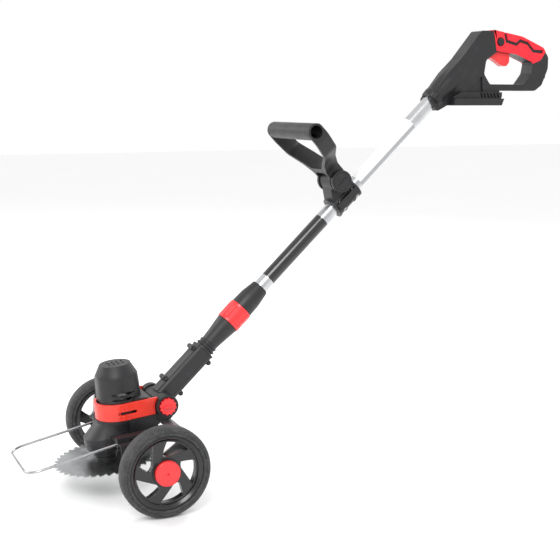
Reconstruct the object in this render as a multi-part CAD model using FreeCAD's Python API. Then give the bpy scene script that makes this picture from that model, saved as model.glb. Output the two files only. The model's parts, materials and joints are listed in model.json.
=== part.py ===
import FreeCAD, Part
import math
import os

V = FreeCAD.Vector
X_AXIS = V(1, 0, 0)
Z_AXIS = V(0, 0, 1)

# ---- driving dimensions, millimetres and degrees ----
# Working frame: X across, Y to the rear, Z up; Y = 0 at the wheel axle, Z = 0 on the ground.
WHEEL_R = 75.0
WHEEL_WIDTH = 32.0
WHEEL_X = 170.0            # middle of each wheel from the centre plane
AXLE_R = 5.0
RUNNING_GAP = 0.06         # radial gap of a shaft in its bush or bearing
BODY_GAP = 0.35            # gap between moving bodies that don't bear on each other

FRONT_Y = -201.1           # front of the wire guard
REAR_Y = 856.0             # rear of the handle
MIDDLE_Y = (FRONT_Y + REAR_Y) / 2

HEAD_PITCH = 5.5           # the head leans front-down
HEAD_Y = -48.0             # blade centre in the working frame
HEAD_Z = 53.0
BLADE_R = 90.0
BLADE_THICK = 1.6
BLADE_TEETH = 40
SPINDLE_R = 6.0

GEAR_MODULE = 1.0
PINION_TEETH = 14
GEAR_TEETH = 54
GEAR_CENTRES = GEAR_MODULE * (PINION_TEETH + GEAR_TEETH) / 2
GEAR_BOTTOM = 30.0
CHAMBER_BOTTOM = 27.0
CHAMBER_TOP = 42.0
PLATE_TOP = 48.0
GEAR_FACE = 10.0
MOTOR_Y = GEAR_CENTRES     # motor axis behind the spindle, head frame
MOTOR_SHAFT_R = 2.5
CAN_R = 26.0
CAN_BOTTOM = 67.0
CAN_TOP = 127.0

BAND_BOTTOM = 71.0         # head frame heights
BAND_TOP = 100.0
BAND_R = 43.5
COVER_R = 38.5
COVER_TOP = 162.0
WALL = 2.5
VENT_ROWS = (104.0, 113.0)  # side vents of the motor cover

BRACKET_THICK = 3.0
BRACKET_HALF = 11.0
BRACKET_LEG_IN = 147.0
BRACKET_TOP = 119.0
BRACKET_Y = 46.0
BRACKET_BOLT_X = 25.0
BRACKET_BOLT_R = 2.5

WIRE_R = 2.2
WIRE_HALF = 70.5
WIRE_END_Z = 43.5          # head frame
WIRE_FRONT_Z = 27.0
WIRE_FRONT_Y = -149.0
WIRE_CORNER = 24.0
WIRE_END_Y = 26.0

PIVOT_Y = 47.0             # head pivot in the working frame
PIVOT_Z = 145.0
TO_HEAD = math.radians(HEAD_PITCH)
PIVOT_HEAD_Y = (PIVOT_Y - HEAD_Y) * math.cos(TO_HEAD) + (PIVOT_Z - HEAD_Z) * math.sin(TO_HEAD)
PIVOT_HEAD_Z = (PIVOT_Z - HEAD_Z) * math.cos(TO_HEAD) - (PIVOT_Y - HEAD_Y) * math.sin(TO_HEAD)
BARREL_R = 17.0
BARREL_HALF = 30.0
EAR_R = 19.5
EAR_IN = 30.6
EAR_OUT = 45.0
KNOB_R = 15.0
PIVOT_BOLT_R = 4.0

SHAFT_ANGLE = 43.1         # shaft above the horizontal
TUBE_R = 13.5
TUBE_WALL = 1.3
TUBE_LOW = 95.0            # stations along the shaft from the pivot
TUBE_HIGH = 800.0
HOUSING_TOP = 118.0
HOUSING_HALF = 18.0
COLLAR_TOP = 133.0
RING_LOW = 181.0
RING_HIGH = 218.0
CONE_TOP = 269.0
RING_R = 22.5
CONE_R = 21.0
BOSS_STATIONS = (34.0, 106.0)
BOSS_OUT = 20.5
LABEL_LOW = 290.0          # black band on the tube
LABEL_HIGH = 438.5
STICKER_LOW = 538.0        # printed label on the tube
STICKER_HIGH = 690.0
LABEL_THICK = 0.15

CLAMP_LOW = 468.0
CLAMP_HIGH = 526.0
AUX_S = 505.0              # station of the front handle's pivot
AUX_T = 36.0               # pivot height over the shaft axis
GRIP_S = 509.0
GRIP_T = 156.0
GRIP_R = 15.0
GRIP_HALF = 84.0
STRAP_WIDTH = 30.0
GRIP_BORE = 11.5
CLAMP_BOLTS = (CLAMP_LOW + 12, CLAMP_HIGH - 12)
CLAMP_BOLT_X = 21.0
AUX_PIN_R = 4.0

HANDLE_HALF = 17.0
OVERMOULD = 2.0
BARREL_OUT = 22.0
SHOE_HALF = 37.0
SHOE_BOTTOM = 651.0
TRIGGER_HALF = 7.5
TRIGGER_PIN = (726.0, 757.0)
BUTTON_AT = (741.0, 771.0)
BUTTON_R = 7.0
HANDLE_SCREW_SPOTS = ((655, 693), (686, 741), (847, 706), (714, 685), (806, 685))


# ---- shape helpers ----
def rounded_wire(points, place):
    """Closed wire; a third value on a point rounds that corner."""
    corners = [(V(*place(p[0], p[1])), p[2] if len(p) > 2 else 0.0) for p in points]
    stretches = []
    for i, (corner, radius) in enumerate(corners):
        if radius == 0.0:
            stretches.append((corner, None, corner))
            continue
        back = (corners[i - 1][0] - corner).normalize()
        ahead = (corners[(i + 1) % len(corners)][0] - corner).normalize()
        half = back.getAngle(ahead) / 2
        reach = radius / math.tan(half)
        inward = (back + ahead).normalize()
        middle = corner + inward * (radius / math.sin(half) - radius)
        stretches.append((corner + back * reach, middle, corner + ahead * reach))
    edges = []
    for i, (start, middle, stop) in enumerate(stretches):
        if middle is not None:
            edges.append(Part.Arc(start, middle, stop).toShape())
        following = stretches[(i + 1) % len(stretches)][0]
        if (following - stop).Length > 1e-6:
            edges.append(Part.LineSegment(stop, following).toShape())
    return Part.Wire(edges)


def flat_slab(points, low, high):
    """Outline in X and Y, extruded in Z."""
    wire = rounded_wire(points, lambda a, b: (a, b, low))
    return Part.Face(wire).extrude(V(0, 0, high - low))


def side_slab(points, left, right):
    """Outline in Y and Z, extruded in X."""
    wire = rounded_wire(points, lambda a, b: (left, a, b))
    return Part.Face(wire).extrude(V(right - left, 0, 0))


def box(x0, x1, y0, y1, z0, z1):
    return Part.makeBox(x1 - x0, y1 - y0, z1 - z0, V(x0, y0, z0))


def rod(radius, low, high, at=(0, 0)):
    """Cylinder along Z at (x, y)."""
    return Part.makeCylinder(radius, high - low, V(at[0], at[1], low), Z_AXIS)


def cross_rod(radius, left, right, at):
    """Cylinder along X at (y, z)."""
    return Part.makeCylinder(radius, right - left, V(left, at[0], at[1]), X_AXIS)


def tube(outer, inner, low, high, at=(0, 0)):
    return rod(outer, low, high, at).cut(rod(inner, low, high, at))


def cross_tube(outer, inner, left, right, at):
    return cross_rod(outer, left, right, at).cut(cross_rod(inner, left, right, at))


def turned(profile):
    """Solid of revolution about Z from (radius, z) points."""
    wire = rounded_wire(profile, lambda a, b: (a, 0, b))
    return Part.Face(wire).revolve(V(0, 0, 0), Z_AXIS, 360)


def hull_wire(y0, r0, y1, r1, z):
    """Outline of two circles on the Y axis and their outer tangents, at height z."""
    gap = y1 - y0
    swing = math.asin((r0 - r1) / gap)
    c, s = math.cos(swing), math.sin(swing)
    right0 = V(r0 * c, y0 + r0 * s, z)
    right1 = V(r1 * c, y1 + r1 * s, z)
    left0 = V(-r0 * c, y0 + r0 * s, z)
    left1 = V(-r1 * c, y1 + r1 * s, z)
    return Part.Wire([
        Part.Arc(left0, V(0, y0 - r0, z), right0).toShape(),
        Part.LineSegment(right0, right1).toShape(),
        Part.Arc(right1, V(0, y1 + r1, z), left1).toShape(),
        Part.LineSegment(left1, left0).toShape()])


def hull_slab(y0, r0, y1, r1, low, high):
    return Part.Face(hull_wire(y0, r0, y1, r1, low)).extrude(V(0, 0, high - low))


def fused(shapes):
    shapes = list(shapes)
    if len(shapes) == 1:
        return shapes[0]
    return shapes[0].fuse(shapes[1:]).removeSplitter()


def both_sides(shape):
    """The shape and its mirror image across the centre plane."""
    return [shape, shape.mirror(V(0, 0, 0), X_AXIS)]


def hex_prism(across_flats, low, high, at=(0, 0)):
    corner = across_flats / math.sqrt(3)
    turns = [math.radians(60 * k) for k in range(6)]
    points = [(at[0] + corner * math.cos(a), at[1] + corner * math.sin(a)) for a in turns]
    return flat_slab(points, low, high)


def cross_hex(across_flats, left, right, at):
    corner = across_flats / math.sqrt(3)
    turns = [math.radians(60 * k) for k in range(6)]
    points = [(at[0] + corner * math.cos(a), at[1] + corner * math.sin(a)) for a in turns]
    return side_slab(points, left, right)


def spur_gear(teeth, low, high, at, phase, bore):
    """Straight-flanked spur gear; phase is the angle of one tooth, in degrees."""
    pitch_r = GEAR_MODULE * teeth / 2
    tip_r = pitch_r + 0.9 * GEAR_MODULE
    root_r = pitch_r - 1.2 * GEAR_MODULE
    tip_half = 0.26 * GEAR_MODULE / tip_r
    pitch_half = 0.68 * GEAR_MODULE / pitch_r
    root_half = 0.95 * GEAR_MODULE / root_r
    points = []
    for k in range(teeth):
        middle = math.radians(phase) + 2 * math.pi * k / teeth
        for r, a in ((root_r, -root_half), (pitch_r, -pitch_half), (tip_r, -tip_half),
                     (tip_r, tip_half), (pitch_r, pitch_half), (root_r, root_half)):
            points.append((at[0] + r * math.cos(middle + a), at[1] + r * math.sin(middle + a)))
    return flat_slab(points, low, high).cut(rod(bore, low, high, at))


# ---- frames and export ----
def in_head(shape):
    """Head frame to working frame: origin at the blade centre, Z along the spindle."""
    placed = shape.copy()
    placed.rotate(V(0, 0, 0), X_AXIS, HEAD_PITCH)
    placed.translate(V(0, HEAD_Y, HEAD_Z))
    return placed


def in_shaft(shape):
    """Shaft frame to working frame: origin at the pivot, Z up the shaft, -Y above it."""
    placed = shape.copy()
    placed.rotate(V(0, 0, 0), X_AXIS, SHAFT_ANGLE - 90)
    placed.translate(V(0, PIVOT_Y, PIVOT_Z))
    return placed


def save(name, *shapes):
    """Write one node, moved so that the origin is under the middle of the object."""
    whole = Part.makeCompound([s for shape in shapes for s in shape.Solids])
    whole.translate(V(0, -MIDDLE_Y, 0))
    whole.exportStep("parts/" + name + ".step")


# ---- wheels ----
def wheel_rim():
    """Rim, five curved spokes and hub of the right wheel, centred at the origin, Z outward."""
    half = WHEEL_WIDTH / 2
    felloe = turned([(61, -half + 3), (61, half - 3), (58, half - 2), (53, half - 6),
                     (52, -half + 6), (58, -half + 3)])
    web = tube(53.5, 12, -5, 7)
    hub = tube(17, 8, -half + 1, half - 7)
    boss = tube(23.5, 12, 2, 10)
    rim = fused([felloe, web, hub, boss])
    for k in range(5):
        rim = rim.cut(wheel_window(72 * k))
    return rim


def wheel_window(turn):
    """One teardrop gap between two swept spokes."""
    def at(radius, degrees):
        a = math.radians(degrees + turn)
        return V(radius * math.cos(a), radius * math.sin(a), -20)
    outer_r, inner_r = 50.0, 25.5
    start, stop = at(outer_r, -12), at(outer_r, 34)
    low, high = at(inner_r, 26), at(inner_r + 3, 48)
    edges = [
        Part.Arc(start, at(outer_r, 11), stop).toShape(),
        Part.Arc(stop, at(41, 39), high).toShape(),
        Part.Arc(high, at(inner_r, 37), low).toShape(),
        Part.Arc(low, at(36, 1), start).toShape()]
    return Part.Face(Part.Wire(edges)).extrude(V(0, 0, 50))


def wheel_tyre():
    half = WHEEL_WIDTH / 2
    profile = [(61, -half + 2), (66, -half), (71, -half + 1, 3), (WHEEL_R, -half + 7, 4),
               (WHEEL_R, half - 7, 4), (71, half - 1, 3), (66, half), (61, half - 2)]
    tyre = turned(profile)
    for z in (-7, 0, 7):
        tyre = tyre.cut(tube(WHEEL_R + 1, WHEEL_R - 0.8, z - 0.6, z + 0.6))
    return tyre


def wheel_cap():
    disc = turned([(0, 10), (21, 10), (21, 15.5), (19.6, 16.6), (0, 16.6)])
    return disc.cut(rod(2, 14, 18)).fuse(tube(11.5, 9.8, 9, 10))


def wheel_bush():
    return tube(8, AXLE_R + RUNNING_GAP, -15, 6)


def on_right(shape):
    placed = shape.copy()
    placed.rotate(V(0, 0, 0), V(0, 1, 0), 90)
    placed.translate(V(WHEEL_X, 0, WHEEL_R))
    return placed


def wheels():
    pieces = {"tyre": wheel_tyre(), "rim": wheel_rim(), "bush": wheel_bush(), "hub_cap": wheel_cap()}
    for name, shape in pieces.items():
        right = on_right(shape)
        save(name + "_right", right)
        save(name + "_left", right.mirror(V(0, 0, 0), X_AXIS))


def axles():
    """Shoulder bolts that carry the wheels, each with its head inside the bracket."""
    shank = cross_rod(AXLE_R, BRACKET_LEG_IN, 176.4, (0, WHEEL_R))
    head = cross_hex(16, BRACKET_LEG_IN - 6, BRACKET_LEG_IN, (0, WHEEL_R))
    washer = cross_rod(6.5, 176.4, 177.6, (0, WHEEL_R))
    save("axle_bolts", *both_sides(fused([shank, head, washer])))


def wheel_bracket():
    """Steel strip across the head, bent down at both ends to the wheel axles."""
    leg_out = BRACKET_LEG_IN + BRACKET_THICK
    low = BRACKET_TOP - BRACKET_THICK
    bar = box(-leg_out, leg_out, BRACKET_Y - BRACKET_HALF, BRACKET_Y + BRACKET_HALF, low, BRACKET_TOP)
    for x in (-BRACKET_BOLT_X, BRACKET_BOLT_X):
        bar = bar.cut(rod(BRACKET_BOLT_R + 0.1, low, BRACKET_TOP, (x, BRACKET_Y)))
    leg = side_slab([(BRACKET_Y + BRACKET_HALF, BRACKET_TOP), (BRACKET_Y + BRACKET_HALF, 104, 8),
                     (9, 64, 9), (-9, 64, 9), (-12, 86, 9), (BRACKET_Y - BRACKET_HALF, BRACKET_TOP)],
                    BRACKET_LEG_IN, leg_out)
    leg = leg.cut(cross_rod(AXLE_R, BRACKET_LEG_IN, leg_out, (0, WHEEL_R)))
    save("wheel_bracket", fused([bar] + both_sides(leg)))
    bolt = fused([rod(BRACKET_BOLT_R, low - 3.5, BRACKET_TOP + 8), hex_prism(8, low - 3.5, low)])
    bolt.translate(V(BRACKET_BOLT_X, BRACKET_Y, 0))
    save("bracket_bolts", *both_sides(bolt))


# ---- head ----
def lower_housing():
    """Black gear housing: teardrop skirt, neck, rear body and the two pivot ears."""
    skirt = Part.makeLoft([hull_wire(0, 31, 30, 27, 20), hull_wire(0, 34, 34, 36, 30)], True, True)
    ridge = Part.makeLoft([hull_wire(0, 34, 34, 36, 30), hull_wire(0, 34.5, 34, 39, 42)], True, True)
    slope = Part.makeLoft([hull_wire(0, 34.5, 34, 39, 42), hull_wire(22, 33, 36, BAND_R - 1, 66)],
                          True, True)
    top = hull_slab(22, 33, 36, BAND_R - 1, 66, BAND_BOTTOM)
    neck = rod(21, 8, 20)
    body = fused([neck, skirt, ridge, slope, top])
    rear = side_slab([(36, BAND_BOTTOM), (36, 44), (60, 46, 10), (112, 58, 6), (112, BAND_BOTTOM)],
                     -44, 44)
    body = body.fuse(rear)
    for x0, x1 in ((EAR_IN, EAR_OUT), (-EAR_OUT, -EAR_IN)):
        ear = cross_rod(EAR_R, x0, x1, (PIVOT_HEAD_Y, PIVOT_HEAD_Z))
        root = side_slab([(85, 62), (112, 60), (PIVOT_HEAD_Y + EAR_R - 1, PIVOT_HEAD_Z),
                          (PIVOT_HEAD_Y - EAR_R + 1, PIVOT_HEAD_Z)], x0, x1)
        body = body.fuse([ear, root])
    lip = cross_tube(EAR_R, KNOB_R + 0.8, EAR_OUT, EAR_OUT + 7, (PIVOT_HEAD_Y, PIVOT_HEAD_Z))
    body = body.fuse(lip)
    return body.cut(lower_housing_hollow()).removeSplitter()


def lower_housing_hollow():
    """Spindle bore, gear chamber, rear cavity, pivot clearance and bolt holes."""
    bearing_seat = rod(16, 9, 19)
    throat = rod(9, 6, CHAMBER_BOTTOM + 1)
    chamber = hull_slab(0, 29.5, MOTOR_Y, 30, CHAMBER_BOTTOM, CHAMBER_TOP)
    plate_seat = hull_slab(20, 31.5, MOTOR_Y, 36.5, CHAMBER_TOP, PLATE_TOP)
    well = rod(36, PLATE_TOP, BAND_BOTTOM, (0, MOTOR_Y))
    rear_cavity = box(-30, 30, 66, 82, 60, BAND_BOTTOM)
    swing = cross_rod(BARREL_R + 1.5, -EAR_IN, EAR_IN, (PIVOT_HEAD_Y, PIVOT_HEAD_Z))
    behind = box(-EAR_IN, EAR_IN, PIVOT_HEAD_Y, 130, 66, 110)
    bolt_hole = cross_rod(PIVOT_BOLT_R, -70, 70, (PIVOT_HEAD_Y, PIVOT_HEAD_Z))
    return fused([bearing_seat, throat, chamber, plate_seat, well]).fuse(
        [rear_cavity, swing, behind, bolt_hole])


def bracket_clearance():
    """Flat seat under the head for the wheel bracket and its bolts, in the head frame."""
    seat = box(-160, 160, BRACKET_Y - BRACKET_HALF, BRACKET_Y + BRACKET_HALF + 40, 90, BRACKET_TOP)
    hole = rod(BRACKET_BOLT_R, 100, BRACKET_TOP + 8, (BRACKET_BOLT_X, BRACKET_Y))
    shape = seat.fuse(both_sides(hole))
    shape.translate(V(0, -HEAD_Y, -HEAD_Z))
    shape.rotate(V(0, 0, 0), X_AXIS, -HEAD_PITCH)
    return shape


def ear_clearance():
    """Room round both pivot ears for the pieces that stop short of them."""
    disc = cross_rod(EAR_R + 0.2, -60, 60, (PIVOT_HEAD_Y, PIVOT_HEAD_Z))
    return disc.fuse(box(-60, 60, PIVOT_HEAD_Y - EAR_R - 0.2, 140, BAND_BOTTOM - 20, PIVOT_HEAD_Z))


def band_outline(radius, half, rear):
    """Front arc about the motor axis and two straight arms to the rear."""
    lean = math.sqrt(radius ** 2 - half ** 2) if half < radius else 0.0
    return Part.Wire([
        Part.Arc(V(half, MOTOR_Y + lean, 0), V(0, MOTOR_Y - radius, 0),
                 V(-half, MOTOR_Y + lean, 0)).toShape(),
        Part.LineSegment(V(-half, MOTOR_Y + lean, 0), V(-half, rear, 0)).toShape(),
        Part.LineSegment(V(-half, rear, 0), V(half, rear, 0)).toShape(),
        Part.LineSegment(V(half, rear, 0), V(half, MOTOR_Y + lean, 0)).toShape()])


def red_band():
    """Red collar round the motor with an arm to each pivot ear and a long slot on each side."""
    height = BAND_TOP - BAND_BOTTOM
    outer = Part.Face(band_outline(BAND_R, BAND_R - 0.5, 90)).extrude(V(0, 0, height))
    inner = Part.Face(band_outline(COVER_R, COVER_R - 0.2, 91)).extrude(V(0, 0, height))
    band = outer.cut(inner)
    band.translate(V(0, 0, BAND_BOTTOM))
    mid = (BAND_BOTTOM + BAND_TOP) / 2 - 2
    slot = side_slab([(20, mid - 2.6, 2.5), (52, mid - 2.6, 2.5), (52, mid + 2.6, 2.5),
                      (20, mid + 2.6, 2.5)], COVER_R - 1, BAND_R + 5)
    return band.cut([ear_clearance()] + both_sides(slot))


def cover_prism(shrink, low, high):
    """Rounded cap section with a flat facet at the front and at each rear corner."""
    shape = rod(COVER_R - shrink, low, high, (0, MOTOR_Y))
    front = MOTOR_Y - COVER_R + 3.5 + shrink
    return shape.common(box(-60, 60, front, 140, low, high))


def motor_cover():
    """Black cap over the motor with chamfered top, vents, and the deck behind it."""
    cap = cover_prism(0, BAND_BOTTOM, COVER_TOP).common(cover_taper(0))
    hollow = cover_prism(WALL, BAND_BOTTOM, COVER_TOP - WALL).common(cover_taper(WALL))
    deck_half = COVER_R - 0.4
    deck = side_slab([(50, BAND_BOTTOM), (50, BAND_TOP + 4, 2), (72, BAND_TOP + 2, 4),
                      (84, BAND_TOP - 2, 3), (84, BAND_BOTTOM)], -deck_half, deck_half)
    deck_hollow = side_slab([(50, BAND_BOTTOM), (50, BAND_TOP), (72, BAND_TOP - 2),
                             (80, BAND_TOP - 6), (80, BAND_BOTTOM)], -30, 30)
    shell = cap.fuse(deck).cut([hollow, deck_hollow])
    swing = cross_rod(BARREL_R + 1.5, -EAR_IN, EAR_IN, (PIVOT_HEAD_Y, PIVOT_HEAD_Z))
    shell = shell.cut([swing, ear_clearance()])
    return shell.cut(cover_vents()).removeSplitter()


def cover_taper(shrink):
    """Turned envelope that tapers the cap and chamfers its top edge."""
    r = COVER_R - shrink
    top = COVER_TOP - shrink
    turned_top = turned([(0, BAND_BOTTOM), (r + 1, BAND_BOTTOM), (r - 1, 128), (r - 2, 143),
                         (r - 12, top), (0, top)])
    turned_top.translate(V(0, MOTOR_Y, 0))
    return turned_top


def cover_vents():
    """Rows of slots in the top and two long recesses in each side."""
    top_slots = [box(-11 + 12 * col, -3 + 12 * col, y, y + 2.6, COVER_TOP - 8, COVER_TOP + 1)
                 for y in (22, 30, 38, 46) for col in (0, 1)]
    side = []
    core = rod(COVER_R - 8, 90, 140, (0, MOTOR_Y))
    for z in VENT_ROWS:
        side += both_sides(box(COVER_R - 4.6, COVER_R + 6, 12, 56, z, z + 5))
        side.append(box(-60, 60, 14, 54, z + 1.4, z + 3.2).cut(core))
    return fused(top_slots + side)


def motor_can():
    """Steel motor body with a bearing seat at each end."""
    can = rod(CAN_R, CAN_BOTTOM, CAN_TOP, (0, MOTOR_Y))
    hollow = rod(CAN_R - 1.5, CAN_BOTTOM + 3, CAN_TOP - 3, (0, MOTOR_Y))
    seats = rod(8, CAN_BOTTOM, CAN_TOP, (0, MOTOR_Y))
    return can.cut([hollow, seats])


def motor_magnets():
    ring = tube(CAN_R - 1.5, 20.6, 74, 116, (0, MOTOR_Y))
    return ring.cut(box(-3, 3, MOTOR_Y - 40, MOTOR_Y + 40, 70, 120))


def gear_plate():
    """Plate that closes the gear chamber, carries the upper bearing and the motor."""
    plate = hull_slab(20, 31.3, MOTOR_Y, 36.3, CHAMBER_TOP, PLATE_TOP - 0.2)
    bearing = rod(11, CHAMBER_TOP, PLATE_TOP)
    return plate.cut([bearing, rod(9, CHAMBER_TOP, PLATE_TOP, (0, MOTOR_Y))])


def blade_guard(housing):
    """Half-round debris guard over the rear of the blade, with a boss for each wire end."""
    outer_r, lip = 97.0, 2.6
    top = 48.0
    disc = rod(outer_r, 18, top).cut([rod(outer_r - lip, 17, top - 3)])
    half = disc.common(box(-120, 120, 2, 120, 0, 80))
    hole = hull_slab(0, 35.5, 40, 40, 10, top + 1)
    boss = box(62, 79, 2, 60, 38, top + 7)
    slot = box(76, 80, 24, 46, 43.5, 49.5)
    guard = half.fuse(both_sides(boss)).cut([hole] + both_sides(wire_way()) + both_sides(slot))
    return guard.cut([housing, bracket_clearance()]).removeSplitter()


def wire_way():
    """Sloping bore in the right boss that the wire slides in."""
    slope = wire_slope()
    start = V(WIRE_HALF, -6, WIRE_END_Z - (4 + 6) * slope)
    return Part.makeCylinder(WIRE_R + RUNNING_GAP, 65, start, V(0, 1, slope))


def wire_slope():
    return (WIRE_END_Z - WIRE_FRONT_Z) / (4 - WIRE_FRONT_Y)


def wire_guard():
    """Bent wire loop ahead of the blade: two arms, two round corners and the front bar."""
    slope = wire_slope()

    def at(x, y):
        return V(x, y, WIRE_END_Z + (y - 4) * slope)

    front = WIRE_FRONT_Y
    turn = WIRE_CORNER
    bend = turn * (1 - math.sqrt(0.5))
    path = Part.Wire([
        Part.LineSegment(at(WIRE_HALF, WIRE_END_Y), at(WIRE_HALF, front + turn)).toShape(),
        Part.Arc(at(WIRE_HALF, front + turn), at(WIRE_HALF - bend, front + bend),
                 at(WIRE_HALF - turn, front)).toShape(),
        Part.LineSegment(at(WIRE_HALF - turn, front), at(-WIRE_HALF + turn, front)).toShape(),
        Part.Arc(at(-WIRE_HALF + turn, front), at(-WIRE_HALF + bend, front + bend),
                 at(-WIRE_HALF, front + turn)).toShape(),
        Part.LineSegment(at(-WIRE_HALF, front + turn), at(-WIRE_HALF, WIRE_END_Y)).toShape()])
    start = at(WIRE_HALF, WIRE_END_Y)
    section = Part.Wire(Part.makeCircle(WIRE_R, start, start - at(WIRE_HALF, 0)))
    return path.makePipeShell([section], True, False)


def head():
    housing = lower_housing().cut(bracket_clearance())
    save("gear_housing", in_head(housing))
    save("red_band", in_head(red_band()))
    save("motor_cover", in_head(motor_cover()))
    save("motor_can", in_head(motor_can()))
    save("motor_magnets", in_head(motor_magnets()))
    save("gear_plate", in_head(gear_plate()))
    save("blade_guard", in_head(blade_guard(housing)))
    motor_bearings = [tube(8, MOTOR_SHAFT_R + RUNNING_GAP, z, z + 3, (0, MOTOR_Y))
                      for z in (CAN_BOTTOM, CAN_TOP - 3)]
    save("motor_bearings", *[in_head(b) for b in motor_bearings])
    spindle_bearings = [tube(16, SPINDLE_R + RUNNING_GAP, 9, 19),
                        tube(11, SPINDLE_R + RUNNING_GAP, CHAMBER_TOP, PLATE_TOP)]
    save("spindle_bearings", *[in_head(b) for b in spindle_bearings])
    bolt = fused([cross_rod(PIVOT_BOLT_R, -EAR_OUT - 3, EAR_OUT + 6, (PIVOT_HEAD_Y, PIVOT_HEAD_Z)),
                  cross_hex(14, -EAR_OUT - 6, -EAR_OUT, (PIVOT_HEAD_Y, PIVOT_HEAD_Z))])
    save("pivot_bolt", in_head(bolt))


def spindle():
    shaft = rod(SPINDLE_R, -14, PLATE_TOP)
    save("blade_spindle", in_head(shaft))
    gear = spur_gear(GEAR_TEETH, GEAR_BOTTOM, GEAR_BOTTOM + GEAR_FACE, (0, 0), 90, SPINDLE_R)
    lightening = [rod(5, GEAR_BOTTOM - 1, GEAR_BOTTOM + GEAR_FACE + 1,
                      (16 * math.cos(math.radians(a)), 16 * math.sin(math.radians(a))))
                  for a in range(30, 390, 60)]
    save("driven_gear", in_head(gear.cut(lightening)))
    half = BLADE_THICK / 2
    flanges = [tube(19, SPINDLE_R, half, 6.5), tube(19, SPINDLE_R, -4.5, -half)]
    save("blade_flanges", *[in_head(f) for f in flanges])
    save("saw_blade", in_head(saw_blade()))
    nut = hex_prism(19, -12, -4.5).cut(rod(SPINDLE_R, -13, -4))
    save("blade_nut", in_head(nut))


def saw_blade():
    """Disc with hooked teeth: each rises steeply and falls along its back."""
    points = []
    step = 2 * math.pi / BLADE_TEETH
    gullet = BLADE_R - 7.5
    for k in range(BLADE_TEETH):
        base = k * step
        for r, part in ((gullet, 0.0), (gullet + 0.6, 0.26), (BLADE_R - 1.2, 0.34),
                        (BLADE_R, 0.42), (BLADE_R - 1.6, 0.68), (gullet + 2.2, 0.93)):
            a = base + part * step
            points.append((r * math.cos(a), r * math.sin(a)))
    half = BLADE_THICK / 2
    blade = flat_slab(points, -half, half)
    return blade.cut(rod(SPINDLE_R, -half, half))


def rotor():
    motor_shaft = rod(MOTOR_SHAFT_R, GEAR_BOTTOM, CAN_TOP + 8, (0, MOTOR_Y))
    save("motor_shaft", in_head(motor_shaft))
    pinion_phase = 270 + 180.0 / PINION_TEETH
    pinion = spur_gear(PINION_TEETH, GEAR_BOTTOM, GEAR_BOTTOM + GEAR_FACE, (0, MOTOR_Y),
                       pinion_phase, MOTOR_SHAFT_R)
    save("motor_pinion", in_head(pinion))
    core = tube(20, MOTOR_SHAFT_R, 76, 114, (0, MOTOR_Y))
    slots = [rod(2.2, 75, 115, (18.5 * math.cos(math.radians(a)),
                                MOTOR_Y + 18.5 * math.sin(math.radians(a))))
             for a in range(0, 360, 30)]
    save("rotor_core", in_head(core.cut(slots)))
    fan = tube(5, MOTOR_SHAFT_R, CAN_TOP + 1.5, CAN_TOP + 7.5, (0, MOTOR_Y))
    blades = []
    for a in range(0, 360, 45):
        blade = box(4, 24, -0.8, 0.8, CAN_TOP + 1.5, CAN_TOP + 7.5)
        blade.rotate(V(0, 0, 0), Z_AXIS, a)
        blade.translate(V(0, MOTOR_Y, 0))
        blades.append(blade)
    save("cooling_fan", in_head(fused([fan] + blades)))


def tilt_knob():
    """Scalloped red clamp knob on the right end of the pivot bolt."""
    at = (PIVOT_HEAD_Y, PIVOT_HEAD_Z)
    knob = cross_rod(KNOB_R, EAR_OUT + 0.4, EAR_OUT + 10, at)
    knob = knob.cut(cross_rod(PIVOT_BOLT_R + RUNNING_GAP, EAR_OUT, EAR_OUT + 6.4, at))
    scallops = []
    for k in range(12):
        a = math.radians(30 * k)
        scallops.append(cross_rod(2.2, EAR_OUT, EAR_OUT + 12,
                                  (at[0] + (KNOB_R + 0.6) * math.cos(a),
                                   at[1] + (KNOB_R + 0.6) * math.sin(a))))
    ridge = side_slab([(at[0] - 9, at[1] - 2.2, 2), (at[0] + 9, at[1] - 2.2, 2),
                       (at[0] + 9, at[1] + 2.2, 2), (at[0] - 9, at[1] + 2.2, 2)],
                      EAR_OUT + 10, EAR_OUT + 12.5)
    return knob.cut(scallops).fuse(ridge)


# ---- lower shaft ----
def shaft_housing():
    """Whole lower housing before it is split: pivot barrel, square-shouldered sleeve, bosses."""
    barrel = cross_rod(BARREL_R, -BARREL_HALF, BARREL_HALF, (0, 0))
    h = HOUSING_HALF
    sleeve = flat_slab([(-h, -h, 9), (h, -h, 9), (h, h, 9), (-h, h, 9)], 8, HOUSING_TOP)
    bosses = [cross_rod(4.6, -11, 11, (side * BOSS_OUT, s)) for s in BOSS_STATIONS for side in (-1, 1)]
    rib = flat_slab([(-h - 1, -h - 1, 10), (h + 1, -h - 1, 10), (h + 1, h + 1, 10),
                     (-h - 1, h + 1, 10)], HOUSING_TOP - 3, HOUSING_TOP)
    body = fused([barrel, sleeve] + bosses + [rib])
    bore = rod(TUBE_R + BODY_GAP, 30, HOUSING_TOP)
    pivot_hole = cross_rod(PIVOT_BOLT_R + RUNNING_GAP, -40, 40, (0, 0))
    screw_holes = [cross_rod(1.8, -11, 11, (side * BOSS_OUT, s))
                   for s in BOSS_STATIONS for side in (-1, 1)]
    return body.cut([bore, pivot_hole] + screw_holes)


def lower_cone():
    """Threaded collar, flaring cone and the sleeve that the locking ring turns on."""
    bore = TUBE_R + BODY_GAP
    profile = [(bore, HOUSING_TOP), (16.5, HOUSING_TOP), (16.5, HOUSING_TOP + 3),
               (18.5, HOUSING_TOP + 4), (18.5, HOUSING_TOP + 6.5), (16, HOUSING_TOP + 7.5),
               (16, HOUSING_TOP + 9.5), (17.6, HOUSING_TOP + 10.5), (17.6, COLLAR_TOP - 2),
               (15.6, COLLAR_TOP), (17.2, COLLAR_TOP + 17), (CONE_R, RING_LOW),
               (18, RING_LOW), (18, RING_HIGH), (bore, RING_HIGH)]
    return turned(profile)


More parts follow.
